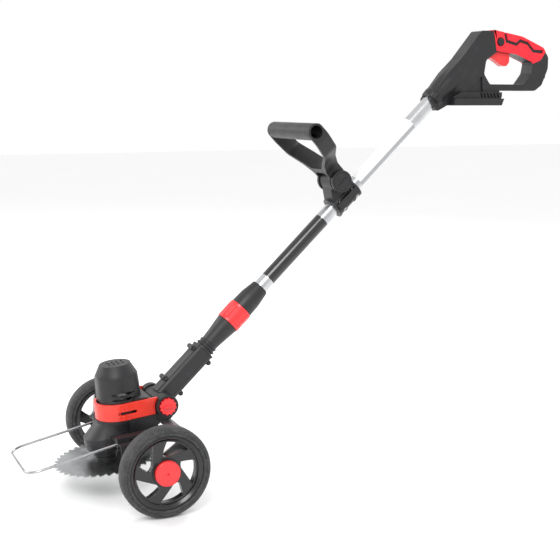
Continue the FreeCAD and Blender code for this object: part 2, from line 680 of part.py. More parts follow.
def upper_cone():
    bore = TUBE_R + BODY_GAP
    profile = [(CONE_R, RING_HIGH), (20.2, RING_HIGH + 24),
               (16, CONE_TOP, 1.2), (bore, CONE_TOP), (bore, RING_HIGH + 40),
               (15.6, RING_HIGH + 38), (15.6, RING_HIGH)]
    return turned(profile)


def collet():
    """Slit gripping sleeve inside the upper cone."""
    sleeve = tube(15.5, TUBE_R + RUNNING_GAP, RING_HIGH + 0.2, RING_HIGH + 36)
    slits = []
    for k in range(4):
        slit = box(0, 20, -0.8, 0.8, RING_HIGH + 8, RING_HIGH + 37)
        slit.rotate(V(0, 0, 0), Z_AXIS, 45 + 90 * k)
        slits.append(slit)
    return sleeve.cut(slits)


def lock_ring():
    """Red quarter-turn ring with raised ribs between shallow windows."""
    low, high = RING_LOW + 0.4, RING_HIGH - 0.4
    ring = tube(RING_R, 18 + BODY_GAP, low, high)
    windows = []
    for k in range(6):
        window = box(RING_R - 1.6, RING_R + 3, -6.5, 6.5, low + 5, high - 5)
        bar = box(RING_R - 2, RING_R + 3, -1.3, 1.3, low + 4, high - 4)
        window = window.cut(bar)
        window.rotate(V(0, 0, 0), Z_AXIS, 60 * k + 12)
        windows.append(window)
    return ring.cut(windows)


def lower_shaft():
    housing = shaft_housing()
    right = housing.common(box(0, 60, -60, 60, -60, 160))
    left = housing.common(box(-60, 0, -60, 60, -60, 160))
    save("shaft_housing_right", in_shaft(right))
    save("shaft_housing_left", in_shaft(left))
    screws = [cross_rod(1.8, -11, 11, (side * BOSS_OUT, s)).fuse(
        cross_rod(2.5, 11, 13, (side * BOSS_OUT, s)))
        for s in BOSS_STATIONS for side in (-1, 1)]
    save("shaft_screws", *[in_shaft(s) for s in screws])
    save("lower_cone", in_shaft(lower_cone()))
    save("upper_cone", in_shaft(upper_cone()))
    save("collet", in_shaft(collet()))
    save("lock_ring", in_shaft(lock_ring()))


# ---- upper tube and its sleeves ----
def upper_tube():
    save("pole_tube", in_shaft(tube(TUBE_R, TUBE_R - TUBE_WALL, TUBE_LOW, TUBE_HIGH)))
    label = tube(TUBE_R + LABEL_THICK, TUBE_R, LABEL_LOW, LABEL_HIGH)
    save("dark_band", in_shaft(label))
    sticker = tube(TUBE_R + LABEL_THICK, TUBE_R, STICKER_LOW, STICKER_HIGH)
    sticker = sticker.common(box(-4, 30, -30, 8, STICKER_LOW - 1, STICKER_HIGH + 1))
    save("safety_label", in_shaft(sticker))
    save("power_lead", in_shaft(rod(2.6, TUBE_LOW + 5, TUBE_HIGH + 20)))


# ---- front handle ----
def clamp_half(upper):
    """One half of the ribbed clamp on the tube; the upper half carries the pivot tower."""
    block = rod(20, CLAMP_LOW, CLAMP_HIGH)
    ribs = [rod(21.5, s, s + 4) for s in (CLAMP_LOW, CLAMP_LOW + 15, CLAMP_HIGH - 19, CLAMP_HIGH - 4)]
    lugs = [box(side * 18 - 8, side * 18 + 8, -7, 7, CLAMP_LOW + 4, CLAMP_HIGH - 4) for side in (-1, 1)]
    body = fused([block] + ribs + lugs)
    if upper:
        tower = side_slab([(-12, CLAMP_LOW + 2, 3), (-AUX_T, AUX_S - 20, 12), (-AUX_T - 16, AUX_S, 8),
                           (-AUX_T, AUX_S + 20, 12), (-12, CLAMP_HIGH, 3)], -17, 17)
        head_disc = cross_rod(19, -17, 17, (-AUX_T, AUX_S))
        body = body.fuse([tower, head_disc])
        body = body.common(box(-40, 40, -80, 0, 400, 600))
        body = body.cut(cross_rod(AUX_PIN_R, -17, 17, (-AUX_T, AUX_S)))
    else:
        body = body.common(box(-40, 40, 0, 80, 400, 600))
    body = body.cut(rod(TUBE_R + RUNNING_GAP + LABEL_THICK, CLAMP_LOW - 1, CLAMP_HIGH + 1))
    for x in (-CLAMP_BOLT_X, CLAMP_BOLT_X):
        for s in CLAMP_BOLTS:
            body = body.cut([cross_y_rod(2.2, x, s), cross_y_rod(4.0, x, s, 7, 30)])
    return body.removeSplitter()


def cross_y_rod(radius, x, s, low=-30.0, high=30.0):
    return Part.makeCylinder(radius, high - low, V(x, low, s), V(0, 1, 0))


def clamp_bolts():
    bolts = []
    for x in (-CLAMP_BOLT_X, CLAMP_BOLT_X):
        for s in CLAMP_BOLTS:
            bolts.append(cross_y_rod(2.2, x, s, -9, 9).fuse(cross_y_rod(3.8, x, s, 7, 10.5)))
    bolts.append(cross_rod(AUX_PIN_R, -30, 30, (-AUX_T, AUX_S)))
    return bolts


def aux_handle():
    """Hollow cross grip on two bowed straps that narrow to the pivot ears."""
    half = STRAP_WIDTH / 2
    t, w = GRIP_T, GRIP_HALF
    outer = [(-w, -t - 6, 6), (-w - 2, -t + 16, 30), (-w + 8, -108, 16), (-42, -84, 20), (-25, -64, 12),
             (-25, -30), (-19.5, -30), (-19.5, -66, 8), (19.5, -66, 8), (19.5, -30), (25, -30),
             (25, -64, 12), (42, -84, 20), (w - 8, -108, 16), (w + 2, -t + 16, 30), (w, -t - 6, 6)]
    plate = flat_slab(outer, GRIP_S - half, GRIP_S + half)
    opening = [(-w + 5, -t - 20), (-w + 3.5, -t + 18, 26), (-w + 13, -110, 14), (-36, -88, 14),
               (-20, -76, 8), (20, -76, 8), (36, -88, 14), (w - 13, -110, 14), (w - 3.5, -t + 18, 26),
               (w - 5, -t - 20)]
    loop = plate.cut(flat_slab(opening, GRIP_S - half - 1, GRIP_S + half + 1))
    grip_line = (-GRIP_T, GRIP_S)
    grip = cross_rod(GRIP_R, -w - 1, w + 1, grip_line)
    ears = [cross_rod(21, 19.5, 25, (-AUX_T, AUX_S)), cross_rod(21, -25, -19.5, (-AUX_T, AUX_S))]
    neck_cut = [cross_rod(AUX_PIN_R + RUNNING_GAP, -40, 40, (-AUX_T, AUX_S)),
                cross_rod(GRIP_BORE, -w - 5, w + 5, grip_line)]
    skirt = [box(x0, x1, -62, -26, GRIP_S - half, GRIP_S + half) for x0, x1 in ((19.5, 25), (-25, -19.5))]
    return loop.fuse([grip] + ears + skirt).cut(neck_cut).removeSplitter()


def aux_knob():
    """Slotted round cap on the right end of the pivot bolt."""
    at = (-AUX_T, AUX_S)
    cap = cross_rod(20, 25.3, 33, at).cut(cross_rod(AUX_PIN_R + RUNNING_GAP, 25, 30.3, at))
    slot = box(31.5, 34, at[0] - 1.4, at[0] + 1.4, at[1] - 11, at[1] + 11)
    dish = cross_tube(17, 15.4, 32.2, 34, at)
    return cap.cut([slot, dish])


def front_handle():
    save("clamp_upper", in_shaft(clamp_half(True)))
    save("clamp_lower", in_shaft(clamp_half(False)))
    save("clamp_bolts", *[in_shaft(b) for b in clamp_bolts()])
    save("front_handle", in_shaft(aux_handle()))
    save("handle_knob", in_shaft(aux_knob()))


# ---- rear handle ----
def handle_outline(top_drop):
    """Side outline of the rear handle; top_drop lowers the grip's back under the overmould."""
    d = top_drop
    return [(645, 662, 4), (600, 640, 6), (583, 662, 6), (623, 711, 20), (652, 738, 10), (697, 791, 8),
            (727, 793 - d, 4), (793, 782 - d, 40), (844, 762 - d, 10), (856, 744, 8), (856, 722, 20),
            (842, 690, 12), (826, 679, 10), (742, 679), (742, 676), (660, 676)]


def handle_opening():
    return [(709, 736, 10), (705, 710, 10), (719, 691, 5), (799, 691, 8), (816, 712, 10), (820, 733, 5),
            (780, 748, 20), (735, 753, 4)]


def overmould_outline(grow):
    g = grow
    return [(723, 798), (732, 754), (780, 746 - g), (820, 731 - g), (838, 738 - g, 8), (851, 757, 6),
            (846, 768), (793, 790)]


def handle_solid(half, drop):
    body = side_slab(handle_outline(drop), -half, half)
    return body.cut(side_slab(handle_opening(), -half - 1, half + 1))


def handle_barrel():
    """Round socket that holds the top of the tube, in the working frame."""
    socket = turned([(0, 752), (20.5, 752, 1), (21.5, 764), (20, 768), (BARREL_OUT, 800),
                     (BARREL_OUT - 4, 845), (0, 850)])
    lugs = [box(-24, 24, -5, 5, 753, 763)]
    return in_shaft(socket.fuse(lugs))


def handle_hollow():
    """Cavities for the tube, the switch, the trigger and the lead."""
    tube_bore = in_shaft(rod(TUBE_R, 740, TUBE_HIGH))
    lead_way = in_shaft(rod(7, TUBE_HIGH, TUBE_HIGH + 40))
    grip_room = side_slab([(712, 762, 4), (733, 759.5), (790, 752, 10), (826, 742, 5), (836, 752, 5),
                           (792, 772, 20), (722, 783, 4)], -HANDLE_HALF + 3.5, HANDLE_HALF - 3.5)
    trigger_way = side_slab([(712, 734), (776, 734), (776, 772), (712, 772)],
                            -TRIGGER_HALF - 0.6, TRIGGER_HALF + 0.6)
    button_way = cross_rod(BUTTON_R + 0.1, -25, 25, BUTTON_AT)
    pin_way = cross_rod(2.0, -HANDLE_HALF + 2.5, HANDLE_HALF - 2.5, TRIGGER_PIN)
    foot_room = side_slab([(640, 672), (700, 672), (712, 690), (690, 690)], -10, 10)
    strut_room = side_slab([(828, 700, 5), (848, 722, 6), (848, 742, 4), (828, 738, 5), (826, 712, 5)],
                           -HANDLE_HALF + 3.5, HANDLE_HALF - 3.5)
    return [tube_bore, lead_way, grip_room, trigger_way, button_way, pin_way, foot_room, strut_room]


def rear_handle_body():
    """Both halves of the handle as one solid, before the split on the centre plane."""
    body = handle_solid(HANDLE_HALF, OVERMOULD).fuse(handle_barrel())
    body = body.cut(side_slab(handle_opening(), -30, 30))
    recess = side_slab([(655, 668), (700, 706), (703, 676), (660, 668)], HANDLE_HALF - 3, 30)
    body = body.cut(both_sides(recess))
    sunk = side_slab(overmould_outline(0), -30, 30)
    core = box(-HANDLE_HALF + OVERMOULD, HANDLE_HALF - OVERMOULD, 600, 900, 600, 900)
    body = body.cut(sunk.cut(core))
    return body.cut(handle_hollow() + handle_screws())


def grip_overmould():
    """Soft red skin round the top of the handle, split by a zig-zag groove on both sides."""
    region = side_slab(overmould_outline(0), -HANDLE_HALF - 0.5, HANDLE_HALF + 0.5)
    outer = side_slab(handle_outline(0), -HANDLE_HALF - 0.5, HANDLE_HALF + 0.5)
    inner = handle_solid(HANDLE_HALF - OVERMOULD, OVERMOULD)
    skin = region.common(outer).cut(side_slab(handle_opening(), -30, 30))
    groove = zigzag_groove()
    keep_clear = cross_rod(BUTTON_R + 1.2, -30, 30, BUTTON_AT)
    trigger_way = side_slab([(722, 740), (776, 740), (776, 772), (722, 772)],
                            -TRIGGER_HALF - 0.6, TRIGGER_HALF + 0.6)
    return skin.cut([inner, keep_clear, trigger_way] + both_sides(groove))


def zigzag_groove():
    """Stepped slot through the skin on the right side."""
    upper = [(752, 797), (757, 775), (778, 770), (786, 777), (806, 772), (820, 758), (843, 757)]
    lower = [(841, 751), (818, 752.5), (804, 766.5), (787.5, 771), (779, 764), (753, 770), (746, 797)]
    return side_slab(upper + lower, HANDLE_HALF - OVERMOULD, HANDLE_HALF + 3)


def battery_shoe():
    """Open-bottomed slide-on battery mount under the handle."""
    block = side_slab([(626, SHOE_BOTTOM), (734, SHOE_BOTTOM), (741, 668), (741, 676), (648, 676, 6),
                       (632, 668, 5), (626, 660)], -SHOE_HALF, SHOE_HALF)
    shoulder = side_slab([(600, 664), (760, 664), (760, 700), (600, 700)], 27, SHOE_HALF + 2)
    block = block.cut(both_sides(shoulder))
    channel = box(-30, 30, 642, 745, SHOE_BOTTOM - 1, SHOE_BOTTOM + 9)
    groove = box(-33.5, 33.5, 642, 745, SHOE_BOTTOM + 3.5, SHOE_BOTTOM + 9)
    vents = []
    for k in range(6):
        y = 690 + 7.6 * k
        vents.append(side_slab([(y, 674), (y + 3.4, 674), (y + 6.4, 665.5), (y + 3, 665.5)], 24, 30))
    openings = [channel, groove] + [v for vent in vents for v in both_sides(vent)]
    return block.cut(openings + [handle_barrel(), handle_solid(HANDLE_HALF, 0)])


def terminals():
    """Contact block and blades that the battery pack plugs onto."""
    carrier = box(-18, 18, 642, 650, SHOE_BOTTOM + 1, SHOE_BOTTOM + 9)
    blades = [box(x - 0.5, x + 0.5, 650, 668, SHOE_BOTTOM + 2, SHOE_BOTTOM + 8) for x in (-14, 0, 14)]
    return [carrier] + blades


def trigger():
    y, z = TRIGGER_PIN
    shape = side_slab([(y - 6, z + 5, 4), (y - 6, z - 8), (716.5, 744.5, 1), (734, 738, 6), (754, 726, 3),
                       (764, 726, 4), (770, 734, 4), (770, 756, 2), (745, 757, 3), (733, z + 5, 3)],
                      -TRIGGER_HALF, TRIGGER_HALF)
    return shape.cut(cross_rod(2 + RUNNING_GAP, -20, 20, TRIGGER_PIN))


def lock_button():
    button = cross_rod(BUTTON_R, -HANDLE_HALF - 2.5, HANDLE_HALF + 2.5, BUTTON_AT)
    slot = cross_tube(9, 5.2, -3, 3, BUTTON_AT)
    return button.cut(slot)


def rear_handle():
    body = rear_handle_body()
    save("rear_handle_right", body.common(box(0, 60, 500, 900, 600, 900)))
    save("rear_handle_left", body.common(box(-60, 0, 500, 900, 600, 900)))
    save("grip_overmould", grip_overmould())
    save("battery_shoe", battery_shoe())
    save("battery_terminals", *terminals())
    save("trigger", trigger())
    save("lock_button", lock_button())
    pin = cross_rod(2.0, -HANDLE_HALF + 2.5, HANDLE_HALF - 2.5, TRIGGER_PIN)
    save("trigger_pin", pin)
    save("switch_box", box(-7, 7, 750, 771, 764, 771))
    save("handle_screws", *handle_screws())


def handle_screws():
    """Screws that join the two halves, their heads sunk in the right side."""
    return [cross_rod(1.8, -8, HANDLE_HALF - 1, at).fuse(
        cross_rod(3.2, HANDLE_HALF - 1, HANDLE_HALF, at)) for at in HANDLE_SCREW_SPOTS]


def main():
    os.makedirs("parts", exist_ok=True)
    wheels()
    axles()
    wheel_bracket()
    head()
    spindle()
    rotor()
    save("wire_guard", in_head(wire_guard()))
    save("tilt_knob", in_head(tilt_knob()))
    lower_shaft()
    upper_tube()
    front_handle()
    rear_handle()


main()
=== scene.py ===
import json
import math

import bmesh
import bpy
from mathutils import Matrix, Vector

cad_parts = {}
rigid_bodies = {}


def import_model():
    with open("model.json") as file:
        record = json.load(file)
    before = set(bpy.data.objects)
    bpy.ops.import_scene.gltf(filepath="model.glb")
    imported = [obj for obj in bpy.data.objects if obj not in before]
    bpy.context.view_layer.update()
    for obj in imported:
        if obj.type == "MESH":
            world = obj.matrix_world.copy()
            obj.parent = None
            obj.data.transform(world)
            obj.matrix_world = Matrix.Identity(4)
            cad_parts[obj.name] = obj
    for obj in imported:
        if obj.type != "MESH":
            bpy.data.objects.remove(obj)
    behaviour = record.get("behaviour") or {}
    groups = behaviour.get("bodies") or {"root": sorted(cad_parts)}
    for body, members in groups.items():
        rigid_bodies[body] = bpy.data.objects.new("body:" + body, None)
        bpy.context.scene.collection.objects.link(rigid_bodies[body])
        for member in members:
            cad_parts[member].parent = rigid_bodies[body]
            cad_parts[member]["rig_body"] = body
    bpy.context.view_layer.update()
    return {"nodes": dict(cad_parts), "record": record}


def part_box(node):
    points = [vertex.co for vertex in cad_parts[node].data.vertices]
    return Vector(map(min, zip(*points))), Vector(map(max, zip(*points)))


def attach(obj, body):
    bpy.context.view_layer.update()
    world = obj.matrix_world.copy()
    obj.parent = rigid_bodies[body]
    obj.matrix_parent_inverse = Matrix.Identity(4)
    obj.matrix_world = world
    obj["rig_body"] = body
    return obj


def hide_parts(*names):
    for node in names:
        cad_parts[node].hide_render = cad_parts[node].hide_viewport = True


MM = 0.001
SHAFT_ANGLE = math.radians(43.1)    # pole above the horizontal
HEAD_PITCH = math.radians(5.5)      # head leans front-down
WIRE_RADIUS = 2.2 * MM
WIRE_TURN = 24.0 * MM               # radius of the wire's front corners
WIRE_PITCH = HEAD_PITCH + math.atan(16.5 / 153)   # the wire's slope over the head's own lean
TYRE_BORE = 61.2 * MM
SMOOTH_ANGLE = math.radians(38)
BEVEL_ANGLE = math.radians(36)

LIGHT_TARGET = (0, 0, 0.35)         # the lights aim here
CAMERA_PLACE = (1.7280, -0.85625, 0.6567)
CAMERA_PITCH = math.radians(9.44)
CAMERA_SWING = math.radians(25.16)
TYRE_SEGMENTS = 144
WIRE_SIDES = 20
STRAIGHT_STEPS = 6
CORNER_STEPS = 16

# Nodes with holes through their flat faces: those faces are never joined into one.
PIERCED = ("front_handle", "rear_handle_left", "rear_handle_right", "motor_cover", "gear_housing",
           "blade_guard")

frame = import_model()
nodes = frame["nodes"]
slot_of = {part["node"]: part["material_slot"] for part in frame["record"]["subparts"]}


# ---------- materials ----------

class Graph:
    """A material's node graph, with short calls for the nodes that the finishes share."""

    def __init__(self, name):
        self.material = bpy.data.materials.new(name)
        self.material.use_nodes = True
        self.tree = self.material.node_tree
        self.shader = self.tree.nodes["Principled BSDF"]
        self.place = self.add("ShaderNodeTexCoord").outputs["Object"]

    def add(self, kind, **values):
        node = self.tree.nodes.new(kind)
        for key, value in values.items():
            setattr(node, key, value)
        return node

    def join(self, output, socket):
        self.tree.links.new(output, socket)

    def mapped(self, scale=(1, 1, 1), rotation=(0, 0, 0), location=(0, 0, 0)):
        """Object coordinates moved, then turned, then scaled."""
        moved = self.add("ShaderNodeMapping", vector_type="POINT")
        moved.inputs["Location"].default_value = location
        self.join(self.place, moved.inputs["Vector"])
        turned = self.add("ShaderNodeMapping", vector_type="POINT")
        turned.inputs["Rotation"].default_value = rotation
        self.join(moved.outputs["Vector"], turned.inputs["Vector"])
        scaled = self.add("ShaderNodeMapping", vector_type="POINT")
        scaled.inputs["Scale"].default_value = scale
        self.join(turned.outputs["Vector"], scaled.inputs["Vector"])
        return scaled.outputs["Vector"]

    def noise(self, scale, detail=3.0, vector=None, roughness=0.5):
        node = self.add("ShaderNodeTexNoise")
        node.inputs["Scale"].default_value = scale
        node.inputs["Detail"].default_value = detail
        node.inputs["Roughness"].default_value = roughness
        self.join(vector or self.place, node.inputs["Vector"])
        return node.outputs["Fac"]

    def cells(self, scale, feature="F1"):
        node = self.add("ShaderNodeTexVoronoi", feature=feature)
        node.inputs["Scale"].default_value = scale
        self.join(self.place, node.inputs["Vector"])
        return node.outputs["Distance"]

    def spread(self, value, low, high, out_low, out_high):
        node = self.add("ShaderNodeMapRange")
        ends = (("From Min", low), ("From Max", high), ("To Min", out_low), ("To Max", out_high))
        for name, number in ends:
            node.inputs[name].default_value = number
        self.join(value, node.inputs["Value"])
        return node.outputs["Result"]

    def mix(self, share, first, second):
        """Colour mixed from first to second; each is a colour or an output."""
        node = self.add("ShaderNodeMix", data_type="RGBA")
        self.join(share, node.inputs["Factor"])
        for name, value in (("A", first), ("B", second)):
            socket = next(s for s in node.inputs if s.name == name and s.type == "RGBA")
            if isinstance(value, tuple):
                socket.default_value = (*value, 1)
            else:
                self.join(value, socket)
        return next(s for s in node.outputs if s.type == "RGBA")

    def colour(self, output):
        self.join(output, self.shader.inputs["Base Color"])

    def roughness(self, output):
        self.join(output, self.shader.inputs["Roughness"])

    def bump(self, height, depth, strength=1.0, under=None):
        node = self.add("ShaderNodeBump")
        node.inputs["Strength"].default_value = strength
        node.inputs["Distance"].default_value = depth
        self.join(height, node.inputs["Height"])
        if under is not None:
            self.join(under, node.inputs["Normal"])
        self.join(node.outputs["Normal"], self.shader.inputs["Normal"])
        return node.outputs["Normal"]

    def set(self, **values):
        for key, value in values.items():
            self.shader.inputs[key.replace("_", " ")].default_value = value


def moulded(name, colour, worn, rough, grain, depth, coat=0.0):
    """Moulded plastic: fine grain, faint flow marks and rubbed patches a little lighter."""
    g = Graph(name)
    flow = g.noise(14.0, 4.0)
    rubbed = g.spread(g.noise(55.0, 6.0, roughness=0.7), 0.52, 0.78, 0.0, 0.55)
    base = g.mix(g.spread(flow, 0.35, 0.65, 0.0, 1.0), colour, tuple(c * 1.18 for c in colour))
    g.colour(g.mix(rubbed, base, worn))
    g.roughness(g.spread(g.noise(30.0, 5.0), 0.3, 0.7, rough - 0.06, rough + 0.08))
    soft = g.bump(g.noise(grain * 0.12, 2.0), depth * 2.5, 0.25)
    g.bump(g.noise(grain, 2.0), depth, 0.6, soft)
    g.set(IOR=1.49, Coat_Weight=coat, Coat_Roughness=0.12)
    return g.material


def metal(name, colour, dark, rough, stretch, rotation=(0, 0, 0), depth=0.00003, anisotropic=0.0):
    """Drawn or ground metal: fine lines along one direction and cloudy tarnish."""
    g = Graph(name)
    lines = g.noise(1.0, 3.0, g.mapped(stretch, rotation))
    cloud = g.noise(26.0, 5.0)
    base = g.mix(g.spread(cloud, 0.4, 0.75, 0.0, 1.0), colour, dark)
    g.colour(g.mix(g.spread(lines, 0.45, 0.7, 0.0, 0.35), base, dark))
    g.roughness(g.spread(lines, 0.3, 0.7, rough - 0.05, rough + 0.1))
    g.bump(lines, depth, 0.5)
    g.set(Metallic=1.0, Anisotropic=anisotropic)
    return g.material


def tyre_material():
    """Foamed rubber: mottled skin, pits, and dust caught low in the surface."""
    g = Graph("tyre_rubber")
    mottled = g.noise(210.0, 6.0, roughness=0.75)
    dust = g.spread(g.noise(38.0, 5.0), 0.5, 0.75, 0.0, 0.5)
    base = g.mix(g.spread(mottled, 0.4, 0.62, 0.0, 1.0), (0.012, 0.012, 0.013), (0.05, 0.05, 0.052))
    g.colour(g.mix(dust, base, (0.085, 0.082, 0.078)))
    g.roughness(g.spread(mottled, 0.3, 0.7, 0.48, 0.78))
    pits = g.bump(g.cells(520.0), 0.0003, 0.45)
    g.bump(mottled, 0.0005, 0.6, pits)
    g.set(IOR=1.5)
    return g.material


def label_material():
    """Plain pale film with one grey stripe along its edge and light scuffs."""
    g = Graph("label_print")
    low = Vector(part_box("safety_label")[0])
    high = Vector(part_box("safety_label")[1])
    length = math.hypot(high.y - low.y, high.z - low.z)
    along = g.mapped((1, 1 / length, 1 / length), (-SHAFT_ANGLE, 0, 0), tuple(-low))
    split = g.add("ShaderNodeSeparateXYZ")
    g.join(along, split.inputs["Vector"])
    edge = g.spread(split.outputs["Z"], -0.012, -0.008, 1.0, 0.0)
    printed = g.mix(edge, (0.76, 0.77, 0.76), (0.32, 0.33, 0.34))
    scuffs = g.spread(g.noise(160.0, 6.0), 0.6, 0.75, 0.0, 0.25)
    g.colour(g.mix(scuffs, printed, (0.6, 0.6, 0.6)))
    g.roughness(g.spread(g.noise(60.0, 4.0), 0.3, 0.7, 0.22, 0.38))
    g.bump(g.noise(300.0, 2.0), 0.00004, 0.4)
    g.set(Coat_Weight=0.4, Coat_Roughness=0.1)
    return g.material


def blade_material():
    """Ground disc: rings of fine turning marks and a few darker heat and sap stains."""
    g = Graph("blade_steel")
    low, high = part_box("saw_blade")
    centre = (low + high) / 2
    flat = g.mapped((1, 1, 1), (HEAD_PITCH, 0, 0), tuple(-centre))
    wave = g.add("ShaderNodeTexWave", wave_type="RINGS", rings_direction="Z")
    wave.inputs["Scale"].default_value = 150.0
    wave.inputs["Distortion"].default_value = 3.0
    wave.inputs["Detail"].default_value = 3.0
    g.join(flat, wave.inputs["Vector"])
    stain = g.spread(g.noise(34.0, 6.0), 0.52, 0.75, 0.0, 0.5)
    rings = g.spread(wave.outputs["Fac"], 0.0, 1.0, 0.0, 0.3)
    base = g.mix(rings, (0.46, 0.47, 0.48), (0.30, 0.31, 0.32))
    g.colour(g.mix(stain, base, (0.24, 0.23, 0.22)))
    g.roughness(g.spread(g.noise(90.0, 5.0), 0.3, 0.7, 0.26, 0.4))
    g.bump(wave.outputs["Fac"], 0.00001, 0.25)
    tangent = g.add("ShaderNodeTangent", direction_type="RADIAL", axis="Z")
    g.join(tangent.outputs["Tangent"], g.shader.inputs["Tangent"])
    g.set(Metallic=1.0, Anisotropic=0.75)
    return g.material


def make_materials():
    along_shaft = (-SHAFT_ANGLE, 0, 0)
    return {
        "tyre_rubber": tyre_material(),
        "rim_gloss": moulded("rim_gloss", (0.003, 0.003, 0.004), (0.012, 0.012, 0.013),
                             0.24, 500, 0.00002, 0.3),
        "bright_red": moulded("bright_red", (0.78, 0.022, 0.026), (0.84, 0.06, 0.055),
                              0.34, 900, 0.00003, 0.2),
        "band_red": moulded("band_red", (0.74, 0.030, 0.014), (0.80, 0.07, 0.035),
                            0.3, 800, 0.00003, 0.25),
        "soft_red": moulded("soft_red", (0.66, 0.008, 0.022), (0.72, 0.05, 0.06), 0.48, 1500, 0.00006),
        "charcoal": moulded("charcoal", (0.010, 0.010, 0.0115), (0.030, 0.030, 0.033),
                            0.44, 1700, 0.00006),
        "dark_plastic": moulded("dark_plastic", (0.010, 0.010, 0.011), (0.04, 0.04, 0.042),
                                0.45, 1400, 0.00006),
        "nylon": moulded("nylon", (0.62, 0.62, 0.58), (0.5, 0.5, 0.46), 0.5, 900, 0.00004),
        "tube_aluminium": metal("tube_aluminium", (0.58, 0.59, 0.60), (0.42, 0.43, 0.45), 0.24,
                                (2600, 18, 2600), along_shaft),
        "blade_steel": blade_material(),
        "zinc_wire": metal("zinc_wire", (0.46, 0.47, 0.48), (0.30, 0.31, 0.32), 0.2, (700, 700, 700)),
        "bracket_steel": metal("bracket_steel", (0.50, 0.51, 0.52), (0.30, 0.30, 0.31),
                               0.36, (60, 1500, 1500)),
        "fastener_steel": metal("fastener_steel", (0.42, 0.42, 0.43), (0.22, 0.22, 0.23),
                                0.34, (900, 900, 900)),
        "black_steel": moulded("black_steel", (0.010, 0.010, 0.010), (0.08, 0.08, 0.08),
                               0.35, 1200, 0.00003),
        "gear_steel": metal("gear_steel", (0.42, 0.42, 0.43), (0.26, 0.26, 0.27),
                            0.35, (900, 900, 300)),
        "bearing_steel": metal("bearing_steel", (0.62, 0.62, 0.63), (0.5, 0.5, 0.5),
                               0.2, (900, 900, 200)),
        "motor_steel": metal("motor_steel", (0.5, 0.5, 0.5), (0.35, 0.35, 0.35),
                             0.35, (400, 400, 1800)),
        "magnet": moulded("magnet", (0.05, 0.05, 0.055), (0.09, 0.09, 0.09), 0.55, 1200, 0.00006),
        "terminal_brass": metal("terminal_brass", (0.72, 0.52, 0.2), (0.5, 0.35, 0.14),
                                0.28, (300, 2000, 2000)),
        "black_band": moulded("black_band", (0.004, 0.004, 0.005), (0.02, 0.02, 0.022),
                              0.2, 600, 0.00002, 0.5),
        "label_print": label_material(),
        "lead_rubber": moulded("lead_rubber", (0.012, 0.012, 0.012), (0.04, 0.04, 0.04),
                               0.6, 900, 0.00005),
    }


materials = make_materials()


# ---------- shapes ----------

def dress(obj, slot):
    obj.data.materials.clear()
    obj.data.materials.append(materials[slot])


def piece_from(name, mesh, body, slot):
    """A new piece that rides on a body and wears a slot's material."""
    obj = bpy.data.objects.new(name, mesh)
    bpy.context.scene.collection.objects.link(obj)
    dress(obj, slot)
    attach(obj, body)
    return obj


def clean_copy(node):
    """The node's surface as one welded mesh, with flat stretches joined where no hole pierces them."""
    bm = bmesh.new()
    bm.from_mesh(nodes[node].data)
    bmesh.ops.remove_doubles(bm, verts=bm.verts, dist=0.000002)
    if node not in PIERCED:
        bmesh.ops.dissolve_limit(bm, angle_limit=math.radians(0.6), verts=bm.verts, edges=bm.edges)
    bm.verts.index_update()
    points = [v.co.copy() for v in bm.verts]
    faces = [[v.index for v in f.verts] for f in bm.faces]
    bm.free()
    mesh = bpy.data.meshes.new(node + "_finish")
    mesh.from_pydata(points, [], faces)
    mesh.validate()
    mesh.shade_smooth()
    mesh.set_sharp_from_angle(angle=SMOOTH_ANGLE)
    return mesh


def rounded(node, width):
    """The node's shape with its hard edges broken by a small round, as a moulded or cut part has."""
    obj = piece_from(node + "_finish", clean_copy(node), nodes[node]["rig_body"], slot_of[node])
    bevel = obj.modifiers.new("edge_round", "BEVEL")
    bevel.width = width
    bevel.segments = 2
    bevel.limit_method = "ANGLE"
    bevel.angle_limit = BEVEL_ANGLE
    bevel.use_clamp_overlap = node in PIERCED
    bevel.harden_normals = True
    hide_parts(node)
    return obj


ROUNDED = {
    "gear_housing": 0.8, "red_band": 0.7, "motor_cover": 0.8, "blade_guard": 0.6,
    "wheel_bracket": 0.4, "shaft_housing_left": 0.7, "shaft_housing_right": 0.7,
    "lower_cone": 0.6, "upper_cone": 0.6, "lock_ring": 0.6, "tilt_knob": 0.6,
    "clamp_upper": 0.5, "clamp_lower": 0.5, "front_handle": 1.2, "handle_knob": 0.5,
    "rear_handle_left": 1.0, "rear_handle_right": 1.0, "grip_overmould": 0.6, "battery_shoe": 0.6,
    "trigger": 0.8, "lock_button": 0.5, "rim_left": 0.7, "rim_right": 0.7,
    "hub_cap_left": 0.6, "hub_cap_right": 0.6,
}


def lathe(profile, centre, segments):
    """A closed ring turned about the X line through centre; profile holds (radius, offset along X)."""
    points = []
    faces = []
    count = len(profile)
    for k in range(segments):
        angle = 2 * math.pi * k / segments
        for radius, along in profile:
            points.append(centre + Vector((along, radius * math.cos(angle), radius * math.sin(angle))))
    for k in range(segments):
        here = k * count
        there = (k + 1) % segments * count
        for i in range(count):
            j = (i + 1) % count
            faces.append((here + i, here + j, there + j, there + i))
    mesh = bpy.data.meshes.new("lathe")
    mesh.from_pydata(points, [], faces)
    return mesh


def outward(mesh):
    """Turns every face outward and shades the mesh smooth between its hard edges."""
    bm = bmesh.new()
    bm.from_mesh(mesh)
    bmesh.ops.recalc_face_normals(bm, faces=bm.faces)
    bm.to_mesh(mesh)
    bm.free()
    mesh.shade_smooth()
    mesh.set_sharp_from_angle(angle=SMOOTH_ANGLE)
    return mesh


